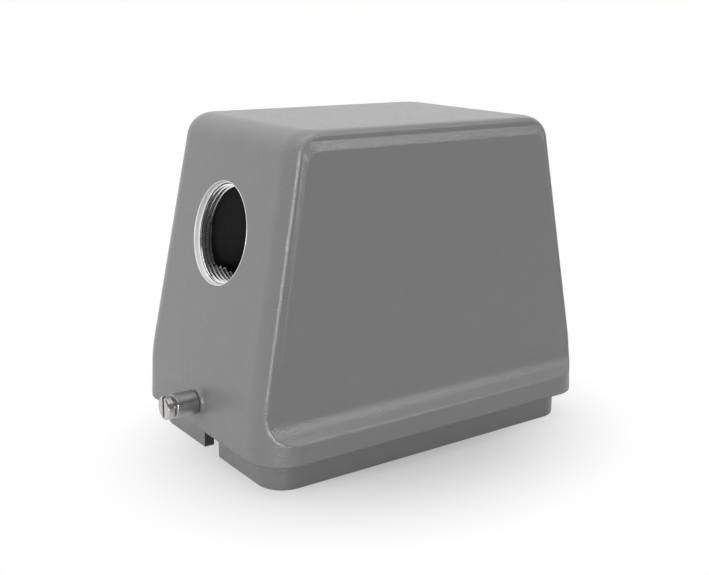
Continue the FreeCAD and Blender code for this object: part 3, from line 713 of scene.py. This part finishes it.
@dataclass
class SidePanel:
    """The low panel on each recessed long side, with bevelled edges, which fades out to the foot.

    It is modelled flat, X along the hood and Y up the wall, from the height where it fades out.
    """

    # Its outline, which runs on within the wall below the height where it fades out.
    foot_half: float = 60.8 * MM
    top_half: float = 47.3 * MM
    foot_drop: float = 5.0 * MM
    fade_height: float = 34.0 * MM
    rise: float = 70.5 * MM
    # How far it is set into the wall, and stands off it at the top.
    sunk: float = 0.6 * MM
    proud: float = 1.0 * MM
    # The slopes along its sides and top, and the roundings between them.
    side_bevel: float = 1.3 * MM
    top_bevel: float = 3.0 * MM
    corner: float = 3.4 * MM
    corner_steps: int = 8
    edge: float = 0.35 * MM
    edge_steps: int = 3
    edge_angle: float = 8.0
    smooth_angle: float = 30.0
    # How far the wall is from the hood's middle where the panel fades out.
    wall: float = 37.82 * MM

    def build(self) -> None:
        """Make the front panel, and a copy of it for the rear."""
        front = self.shape("front_side_panel")
        rear = front.copy()
        rear.data = front.data.copy()
        rear.name = "rear_side_panel"
        rear.data.name = rear.name
        bpy.context.scene.collection.objects.link(rear)
        for piece, turn in ((front, 0.0), (rear, math.pi)):
            Bench.place(piece, Matrix.Rotation(turn, 4, "Z") @ self.seat())
            finish_piece(piece, PAINT, Body.HOOD)

    def seat(self) -> Matrix:
        """Return the move from the bench to the front wall."""
        up = Vector((0, SIDE_SLOPE, 1)).normalized()
        outward = Vector((0, -1, SIDE_SLOPE)).normalized()
        turn = Matrix((Vector((1, 0, 0)), up, outward)).transposed().to_4x4()
        return Matrix.Translation((0, -self.wall, self.fade_height)) @ turn

    def shape(self, name: str) -> bpy.types.Object:
        """Raise the panel from a plane."""
        Bench.clear()
        height = self.rise + self.foot_drop
        middle = (self.rise - self.foot_drop) / 2
        bpy.ops.mesh.primitive_plane_add(size=1.0, location=(0, middle, -self.sunk))
        piece = Bench.take(name)
        Bench.hold(piece)
        piece.scale = (2 * self.foot_half, height, 1)
        bpy.ops.object.transform_apply(location=True, rotation=True, scale=True)
        taper = self.top_half / self.foot_half
        shrink = (self.foot_half - self.side_bevel) / self.foot_half
        squeeze = (height - self.top_bevel) / height
        lean = math.atan(self.proud / self.rise)
        foot = (0, -self.foot_drop, 0)
        with Bench.editing(piece, "VERT"):
            Bench.pick("verts", lambda point: point.co.y > 0)
            bpy.ops.transform.resize(value=(taper, 1, 1), center_override=(0, 0, 0))
            bpy.ops.mesh.bevel(affect="VERTICES", offset=self.corner, segments=self.corner_steps)
            bpy.ops.mesh.select_all(action="SELECT")
            bpy.ops.mesh.extrude_region_move(TRANSFORM_OT_translate={"value": (0, 0, self.sunk)})
            bpy.ops.mesh.extrude_region_move(TRANSFORM_OT_translate={"value": (0, 0, 0)})
            bpy.ops.transform.resize(value=(shrink, squeeze, 1), center_override=foot)
            bpy.ops.transform.rotate(value=-lean, orient_axis="X", center_override=(0, 0, 0))
        Bench.outward(piece)
        Bench.modify(piece, "BEVEL", width=self.edge, segments=self.edge_steps, limit_method="ANGLE",
                     angle_limit=math.radians(self.edge_angle))
        Bench.smooth_edges(piece, self.smooth_angle)
        return piece


@dataclass
class CableEntry:
    """The bare metal of the cable entry: a smooth lead-in, and a thread that the tap has also cut
    into the block of posts behind its lower side.

    It is turned about +Z with its mouth at Z = 0, and then set into the sloping end face.
    """

    # The thread. More turns are made than are kept, and its ends are cut off flat.
    wall_radius: float = 15.97 * MM
    crest_radius: float = 15.19 * MM
    depth: float = 5.98 * MM
    pitch: float = 1.5 * MM
    crest_width: float = 0.25 * MM
    root_width: float = 0.35 * MM
    first_crest: float = 2.325 * MM
    turns: int = 9
    spare_turns: int = 2
    # The lead-in, the lip where it opens, and the bare rim round the mouth.
    lead_radius: float = 16.37 * MM
    lead_depth: float = 1.9 * MM
    rim_radius: float = 16.5 * MM
    rim_proud: float = 0.02 * MM
    opening: float = 0.25 * MM
    lip_width: float = 0.07 * MM
    lip_depth: float = 0.03 * MM
    skin: float = 0.15 * MM
    steps: int = 96
    smooth_angle: float = 28.0
    # The block of posts. Its low and far sides lie beyond all of the thread.
    block_nose: float = 48.32 * MM
    block_half: float = 9.78 * MM
    block_radius: float = 3.9 * MM
    block_steps: int = 8
    block_top: float = 60.88 * MM
    block_low: float = 45.0 * MM
    block_far: float = 75.0 * MM
    mouth: Vector = field(default_factory=lambda: Vector(ENTRY_MOUTH))
    outward: Vector = field(default_factory=lambda: Vector(ENTRY_OUTWARD))

    def build(self) -> None:
        """Make the thread and the lead-in."""
        ring = self.turn_thread("thread_ring")
        self.trim(ring, -self.lead_depth, above=True)
        self.trim(ring, -self.depth, above=False)
        tail = self.turn_thread("thread_tail")
        self.trim(tail, -self.depth, above=True)
        lead = self.raise_lead_in()
        for piece in (ring, tail, lead):
            Bench.modify(piece, "SOLIDIFY", thickness=self.skin, offset=1.0)
            Bench.place(piece, self.seat())
        self.cut_to_block(tail)
        thread = Bench.join([ring, tail], "cable_entry_thread")
        for piece, finish in ((thread, BARE), (lead, FACED)):
            Bench.smooth(piece, self.smooth_angle)
            finish_piece(piece, finish, Body.HOOD)

    def seat(self) -> Matrix:
        """Return the move from the lathe to the end face."""
        turn = Vector((0, 0, 1)).rotation_difference(self.outward).to_matrix().to_4x4()
        return Matrix.Translation(self.mouth) @ turn

    def turn_thread(self, name: str) -> bpy.types.Object:
        """Turn the outline of one pitch into a helix."""
        flank = (self.pitch - self.crest_width - self.root_width) / 2
        outline = [(self.wall_radius, 0), (self.crest_radius, flank),
                   (self.crest_radius, flank + self.crest_width),
                   (self.wall_radius, self.pitch - self.root_width), (self.wall_radius, self.pitch)]
        last = len(outline) - 1
        start = -self.first_crest - flank - self.crest_width / 2
        start -= (self.turns - self.spare_turns) * self.pitch
        Bench.clear()
        bpy.ops.mesh.primitive_circle_add(vertices=len(outline), radius=MM)
        piece = Bench.take(name)
        with Bench.editing(piece, "VERT"):
            form = bmesh.from_edit_mesh(piece.data)
            form.verts.ensure_lookup_table()
            for point, (radius, height) in zip(form.verts, outline):
                point.co = Vector((radius, 0, start + height))
            bmesh.update_edit_mesh(piece.data)
            Bench.pick("edges", lambda edge: {point.index for point in edge.verts} == {0, last})
            bpy.ops.mesh.delete(type="EDGE")
        Bench.modify(piece, "SCREW", axis="Z", steps=self.steps, render_steps=self.steps,
                     screw_offset=self.pitch, iterations=self.turns)
        Bench.outward(piece)
        with Bench.editing(piece):
            bpy.ops.mesh.select_all(action="SELECT")
            bpy.ops.mesh.flip_normals()
        return piece

    def trim(self, piece: bpy.types.Object, height: float, above: bool) -> None:
        """Cut an open surface flat."""
        with Bench.editing(piece):
            bpy.ops.mesh.select_all(action="SELECT")
            bpy.ops.mesh.bisect(plane_co=(0, 0, height), plane_no=(0, 0, 1), clear_outer=above,
                                clear_inner=not above)

    def raise_lead_in(self) -> bpy.types.Object:
        """Extrude the step, the smooth wall and the bare rim from a circle."""
        radius = self.wall_radius
        height = -self.lead_depth
        rings = [(self.lead_radius, height), (self.lead_radius, -self.opening),
                 (self.lead_radius + self.lip_width, -self.lip_depth),
                 (self.rim_radius, self.rim_proud)]
        Bench.clear()
        bpy.ops.mesh.primitive_circle_add(vertices=self.steps, radius=radius,
                                          location=(0, 0, height))
        piece = Bench.take("cable_entry_lead_in")
        Bench.hold(piece)
        bpy.ops.object.transform_apply(location=True)
        with Bench.editing(piece, "EDGE"):
            bpy.ops.mesh.select_all(action="SELECT")
            for wider, higher in rings:
                rise = (0, 0, higher - height)
                ratio = wider / radius
                bpy.ops.mesh.extrude_edges_move(TRANSFORM_OT_translate={"value": rise})
                bpy.ops.transform.resize(value=(ratio, ratio, 1), center_override=(0, 0, higher))
                radius = wider
                height = higher
            bpy.ops.mesh.select_all(action="SELECT")
            bpy.ops.mesh.normals_make_consistent(inside=True)
        return piece

    def cut_to_block(self, tail: bpy.types.Object) -> None:
        """Keep of the deeper thread only what lies in the block of posts."""
        Bench.clear()
        bpy.ops.mesh.primitive_cube_add(size=1.0)
        block = Bench.take("block_form")
        middle = ((-self.block_far - self.block_nose) / 2, 0, (self.block_low + self.block_top) / 2)
        size = (self.block_far - self.block_nose, 2 * self.block_half, self.block_top - self.block_low)
        Bench.place(block, Matrix.Translation(middle) @ Matrix.Diagonal((*size, 1)))
        with Bench.editing(block, "EDGE"):
            Bench.pick("edges", self.is_nose_edge)
            bpy.ops.mesh.bevel(offset=self.block_radius, segments=self.block_steps)
        Bench.modify(tail, "BOOLEAN", operation="INTERSECT", solver="EXACT", object=block)
        bpy.data.objects.remove(block)

    def is_nose_edge(self, edge: bmesh.types.BMEdge) -> bool:
        """Tell whether an edge of the block stands upright at its nose."""
        low, high = (point.co for point in edge.verts)
        at_nose = all(abs(place.x + self.block_nose) < ALIGNED for place in (low, high))
        return at_nose and abs(low.z - high.z) > ALIGNED


@dataclass
class LockingPeg:
    """One locking peg and the roller that turns on it.

    Args:
        end: The end of the hood that carries them.
        peg_edge: The width of the peg's broken edges.
        roller_edge: The width of the roller's broken edges.
        edge_angle: The least angle of an edge that is broken, in degrees.
    """

    end: End
    peg_edge: float = 0.12 * MM
    roller_edge: float = 0.08 * MM
    edge_angle: float = 25.0

    def build(self) -> None:
        """Make the peg and the roller with their fine broken edges."""
        word = self.end.word
        body = Body.LEFT_ROLLER if self.end is End.LEFT else Body.RIGHT_ROLLER
        pieces = [("locking_peg", "peg", self.peg_edge, PEG, Body.HOOD, Slot.PEG),
                  ("peg_roller", "roller_sleeve", self.roller_edge, ROLLER, body, Slot.ROLLER)]
        for part, name, edge, finish, carrier, slot in pieces:
            node = f"{word}_{part}"
            piece = Bench.softened(node, f"{word}_{name}", edge, self.edge_angle)
            finish_piece(piece, finish, carrier, [node])


@dataclass
class ContactInsert:
    """One contact insert with its contacts, screws and earth plates.

    Args:
        row: Its side of the hood.
        moulding_edge: The width of the moulding's rounded edges.
        metal_edge: The width of the metal pieces' broken edges.
    """

    row: Row
    moulding_edge: float = 0.25 * MM
    metal_edge: float = 0.12 * MM

    def build(self) -> None:
        """Make the insert's pieces, each with its edges broken."""
        pieces = [("insert_body", PLASTIC, Slot.PLASTIC, self.moulding_edge),
                  ("outer_contacts", SILVER, Slot.CONTACT, self.metal_edge),
                  ("inner_contacts", SILVER, Slot.CONTACT, self.metal_edge),
                  ("terminal_screws", SCREW, Slot.SCREW, self.metal_edge),
                  ("earth_screws", SCREW, Slot.SCREW, self.metal_edge),
                  ("fixing_screws", SCREW, Slot.SCREW, self.metal_edge),
                  ("left_earth_plate", ZINC, Slot.PLATE, self.metal_edge),
                  ("right_earth_plate", ZINC, Slot.PLATE, self.metal_edge)]
        for part, finish, slot, edge in pieces:
            node = f"{self.row.value}_{part}"
            piece = Bench.softened(node, f"{node}_detailed", edge)
            finish_piece(piece, finish, Body.HOOD, [node])


def direction_to(azimuth: float, elevation: float) -> Vector:
    """Return the direction from the object to a place round it.

    Args:
        azimuth: Degrees from the front towards the right.
        elevation: Degrees above the floor.
    """
    turn = math.radians(azimuth)
    tilt = math.radians(elevation)
    return Vector((math.sin(turn) * math.cos(tilt), -math.cos(turn) * math.cos(tilt), math.sin(tilt)))


@dataclass(frozen=True)
class SoftBox:
    """A lamp behind a white cloth.

    Args:
        name: The lamp's name.
        azimuth: Its direction round the object, in degrees, from the front towards the right.
        elevation: Its direction above the floor, in degrees.
        distance: How far it is from the object's middle, in metres.
        width: The cloth's width.
        height: The cloth's height.
        power: The lamp's power, in watts.
        bounces: How often its light may bounce.
        glossy: Whether it is seen in reflections.
        diffuse: Whether it lights matt surfaces.
        aim: The height over the floor that it faces.
    """

    name: str
    azimuth: float
    elevation: float
    distance: float
    width: float
    height: float
    power: float
    bounces: int = 0
    glossy: bool = True
    diffuse: bool = True
    aim: float = 50.0 * MM

    def hang(self) -> None:
        """Hang the lamp so that it faces the object."""
        data = bpy.data.lights.new(self.name, "AREA")
        data.shape = "RECTANGLE"
        data.size = self.width
        data.size_y = self.height
        data.energy = self.power
        data.cycles.max_bounces = self.bounces
        lamp = bpy.data.objects.new(self.name, data)
        lamp.visible_glossy = self.glossy
        lamp.visible_diffuse = self.diffuse
        bpy.context.scene.collection.objects.link(lamp)
        back = direction_to(self.azimuth, self.elevation)
        lamp.location = Vector((0, 0, self.aim)) + back * self.distance
        lamp.rotation_euler = (-back).to_track_quat("-Z", "Y").to_euler()


@dataclass
class Floor:
    """A pale floor with a painted shadow round the object, which fades into a white backdrop.

    The eye and reflections see a painted shadow round the object: a matt shade that keeps the
    object's real shadow, with a glow of its own added, which fades to white further out. Other light
    meets a plain pale floor.

    Args:
        size: The floor's width.
        pale: The shade of the plain floor.
        roughness: The plain floor's roughness.
        shade: The matt shade that the eye sees.
        glow: The strength of the glow added to it, painted light that keeps the painted shadow pale,
            also under the hood.
        painted_shadow_middle: The middle of the painted shadow, X and Y.
        painted_shadow_reach: How far the painted shadow reaches from there, along X and along Y.
        painted_shadow_start: Where it starts to fade to white, as a part of its reach.
        painted_shadow_end: Where it has faded to white.
    """

    size: float = 6.0
    pale: float = 0.5
    roughness: float = 0.9
    shade: float = 0.23
    glow: float = 0.38
    # The painted shadow round the object: where it lies, and how far it reaches before it fades to
    # white.
    painted_shadow_middle: tuple[float, float] = (-5.0 * MM, -15.0 * MM)
    painted_shadow_reach: tuple[float, float] = (103.0 * MM, 83.0 * MM)
    painted_shadow_start: float = 0.26
    painted_shadow_end: float = 1.02

    def lay(self) -> None:
        """Lay the floor under the object."""
        Bench.clear()
        bpy.ops.mesh.primitive_plane_add(size=self.size)
        floor = Bench.take("floor")
        floor.data.materials.append(self.material())

    def material(self) -> bpy.types.Material:
        """Return the floor's material."""
        floor = Shader("pale_floor", (self.pale,) * 3, 0.0, self.roughness)
        ray = floor.node("ShaderNodeLightPath")
        seen = floor.math("MAXIMUM", ray.outputs["Is Camera Ray"], ray.outputs["Is Glossy Ray"])
        seen = floor.math("MAXIMUM", seen, ray.outputs["Is Transmission Ray"])
        shade = floor.node("ShaderNodeBsdfDiffuse", {"Color": (self.shade, self.shade, self.shade, 1)})
        glow = floor.node("ShaderNodeEmission", {"Strength": self.glow})
        # Near the object the eye sees a painted shadow, the glow plus the matt shade, blended to white
        # further out.
        near = floor.node("ShaderNodeAddShader", {0: glow.outputs[0], 1: shade.outputs[0]})
        white = floor.node("ShaderNodeEmission")
        shown = floor.blend(self.fade(floor), near.outputs[0], white.outputs[0])
        shown = floor.blend(seen, floor.surface.outputs[0], shown)
        floor.feed(floor.tree.nodes["Material Output"].inputs["Surface"], shown)
        return floor.material

    def fade(self, floor: Shader) -> bpy.types.NodeSocket:
        """Return how far the painted shadow has faded to white at each place."""
        scale = [1 / reach for reach in self.painted_shadow_reach]
        move = [-middle / reach for middle, reach in zip(self.painted_shadow_middle, self.painted_shadow_reach)]
        shadow_patch = floor.node("ShaderNodeMapping", {"Vector": floor.place, "Scale": (*scale, 1),
                                                 "Location": (*move, 0)})
        far = floor.node("ShaderNodeVectorMath", {0: shadow_patch.outputs["Vector"]}, operation="LENGTH")
        return floor.span(far.outputs["Value"], self.painted_shadow_start, self.painted_shadow_end, smooth=True)


@dataclass
class Room:
    """The white room round the object.

    The eye sees it white. Reflections see it dimmer behind the camera, and matt surfaces are lit
    more from the left than from the right.

    Args:
        azimuth: The camera's direction round the object, in degrees.
        ambient: How strongly the room lights matt surfaces.
        ambient_lean: How much stronger it does so from the left end, and weaker from the right.
        front_wall: How bright reflections see the wall behind the camera.
        wall_turn: How far to each side of the object the dim wall turns into the white one.
    """

    azimuth: float
    ambient: float = 0.40
    ambient_lean: float = 0.36
    front_wall: float = 0.12
    wall_turn: float = 0.35

    def build(self) -> None:
        """Make the world."""
        world = bpy.data.worlds.new("studio")
        bpy.context.scene.world = world
        world.use_nodes = True
        room = Graph(world.node_tree)
        room.tree.nodes.clear()
        place = room.node("ShaderNodeTexCoord").outputs["Generated"]
        angle = math.radians(self.azimuth)
        away = (-math.sin(angle), math.cos(angle), 0)
        along = room.node("ShaderNodeVectorMath", {0: place, 1: away}, operation="DOT_PRODUCT")
        wall = room.span(along.outputs["Value"], -self.wall_turn, self.wall_turn, self.front_wall, 1.0,
                         smooth=True)
        aside = room.node("ShaderNodeSeparateXYZ", {0: place})
        soft = room.span(aside.outputs["X"], -1.0, 1.0, self.ambient + self.ambient_lean,
                         self.ambient - self.ambient_lean)
        white = self.background(room, 1.0)
        ray = room.node("ShaderNodeLightPath")
        shown = room.blend(ray.outputs["Is Transmission Ray"], self.background(room, soft), white)
        shown = room.blend(ray.outputs["Is Glossy Ray"], shown, self.background(room, wall))
        shown = room.blend(ray.outputs["Is Camera Ray"], shown, white)
        room.node("ShaderNodeOutputWorld", {"Surface": shown})

    @staticmethod
    def background(room: Graph, strength: Value) -> bpy.types.NodeSocket:
        """Return a white background of a strength."""
        values = {"Color": (1, 1, 1, 1), "Strength": strength}
        return room.node("ShaderNodeBackground", values).outputs[0]


@dataclass
class Studio:
    """The floor, the light and the camera.

    Args:
        camera_place: Where the camera stands.
        azimuth: Its direction round the object, in degrees, from the front towards the right.
        elevation: Its direction above the floor, in degrees.
        roll: How far it is turned about its own axis, in degrees.
        lens: Its focal length, in millimetres.
        sensor: Its picture's width, in millimetres.
        nearest: The least distance that it sees.
        boxes: The lamps.
    """

    camera_place: Vector = field(default_factory=lambda: Vector((-209.5, -285.7, 140.8)) * MM)
    azimuth: float = -35.65
    elevation: float = 14.81
    roll: float = 0.68
    lens: float = 53.34
    sensor: float = 36.0
    nearest: float = 0.01
    boxes: Sequence[SoftBox] = (
        SoftBox("top_box", 0.0, 80.0, 0.9, 0.9, 0.9, 5.8, 8),
        SoftBox("left_box", -100.0, 4.0, 1.2, 0.8, 0.8, 3.7, 8, glossy=False),
        SoftBox("front_box", -38.0, 6.0, 1.2, 0.55, 0.5, 4.2, 8),
        SoftBox("front_spot", -33.0, 9.0, 1.2, 0.12, 0.12, 8.0, diffuse=False),
        SoftBox("right_spot", 33.0, 30.0, 1.2, 0.12, 0.12, 3.4, diffuse=False),
    )

    def build(self) -> None:
        """Set the studio up round the object."""
        Floor().lay()
        Room(self.azimuth).build()
        for box in self.boxes:
            box.hang()
        self.set_camera()
        bpy.context.scene.view_settings.view_transform = "Standard"

    def set_camera(self) -> None:
        """Stand the camera where the photograph was taken from."""
        data = bpy.data.cameras.new("camera")
        data.lens = self.lens
        data.sensor_width = self.sensor
        data.clip_start = self.nearest
        camera = bpy.data.objects.new("camera", data)
        bpy.context.scene.collection.objects.link(camera)
        turn = math.radians(self.azimuth)
        roll = math.radians(self.roll)
        back = direction_to(self.azimuth, self.elevation)
        level = Vector((math.cos(turn), math.sin(turn), 0))
        rise = back.cross(level)
        right = level * math.cos(roll) + rise * math.sin(roll)
        up = rise * math.cos(roll) - level * math.sin(roll)
        pose = Matrix((right, up, back)).transposed().to_4x4()
        camera.matrix_world = Matrix.Translation(self.camera_place) @ pose
        bpy.context.scene.camera = camera


def main() -> None:
    """Dress the connector and set the studio up."""
    logging.basicConfig(level=logging.INFO, format="%(message)s")
    HoodCasting().build()
    SidePanel().build()
    CableEntry().build()
    for end in End:
        LockingPeg(end).build()
    for row in Row:
        ContactInsert(row).build()
    Studio().build()


if __name__ == "__main__":
    main()
